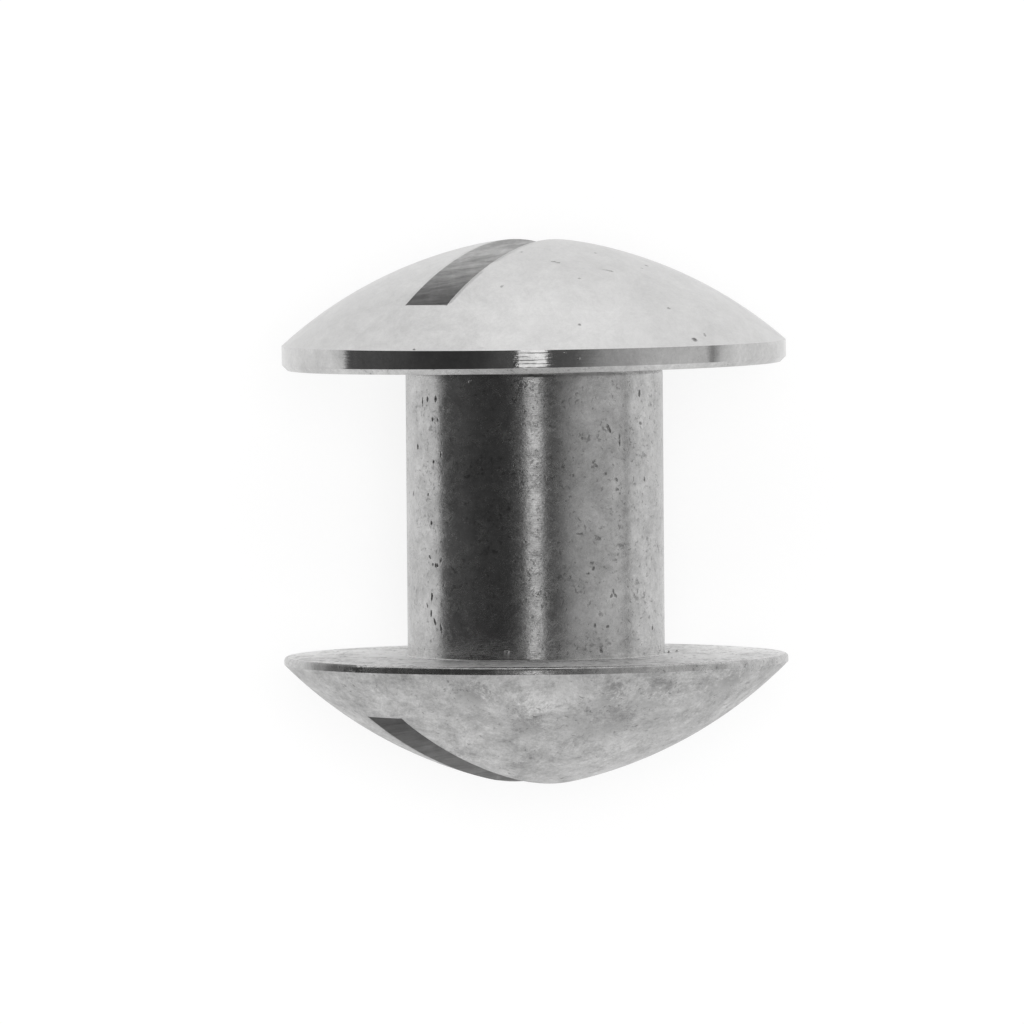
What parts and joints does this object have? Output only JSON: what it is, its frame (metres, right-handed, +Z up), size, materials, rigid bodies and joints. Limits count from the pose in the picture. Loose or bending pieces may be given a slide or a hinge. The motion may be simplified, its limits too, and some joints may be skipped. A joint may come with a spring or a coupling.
{
  "type": "book screw",
  "caption": "Slotted book screw with domed heads: a blind threaded post and the screw that closes it, for binding a punched stack of sheets, covers or straps.",
  "frame": {"origin": "on the ground, under the middle of the closed screw, which lies on the rims of its two heads", "axes": "+Y along the screw's axis, from the post to the screw; +Z up; +X to the right when looking along +Y"},
  "size_m": [0.01, 0.0108, 0.01],
  "materials": {
    "post_plating": "nickel plating, satin, pitted and mottled with tarnish",
    "screw_plating": "nickel plating, satin, with fine turning lines and a few small nicks"
  },
  "bodies": {
    "post": {"post": "post_plating"},
    "screw": {"screw": "screw_plating"}
  },
  "joints": [
    {"name": "screw_out", "type": "slide", "parent": "post", "child": "screw", "axis": [0, 1, 0], "range_m": [0, 0.014]}
  ]
}
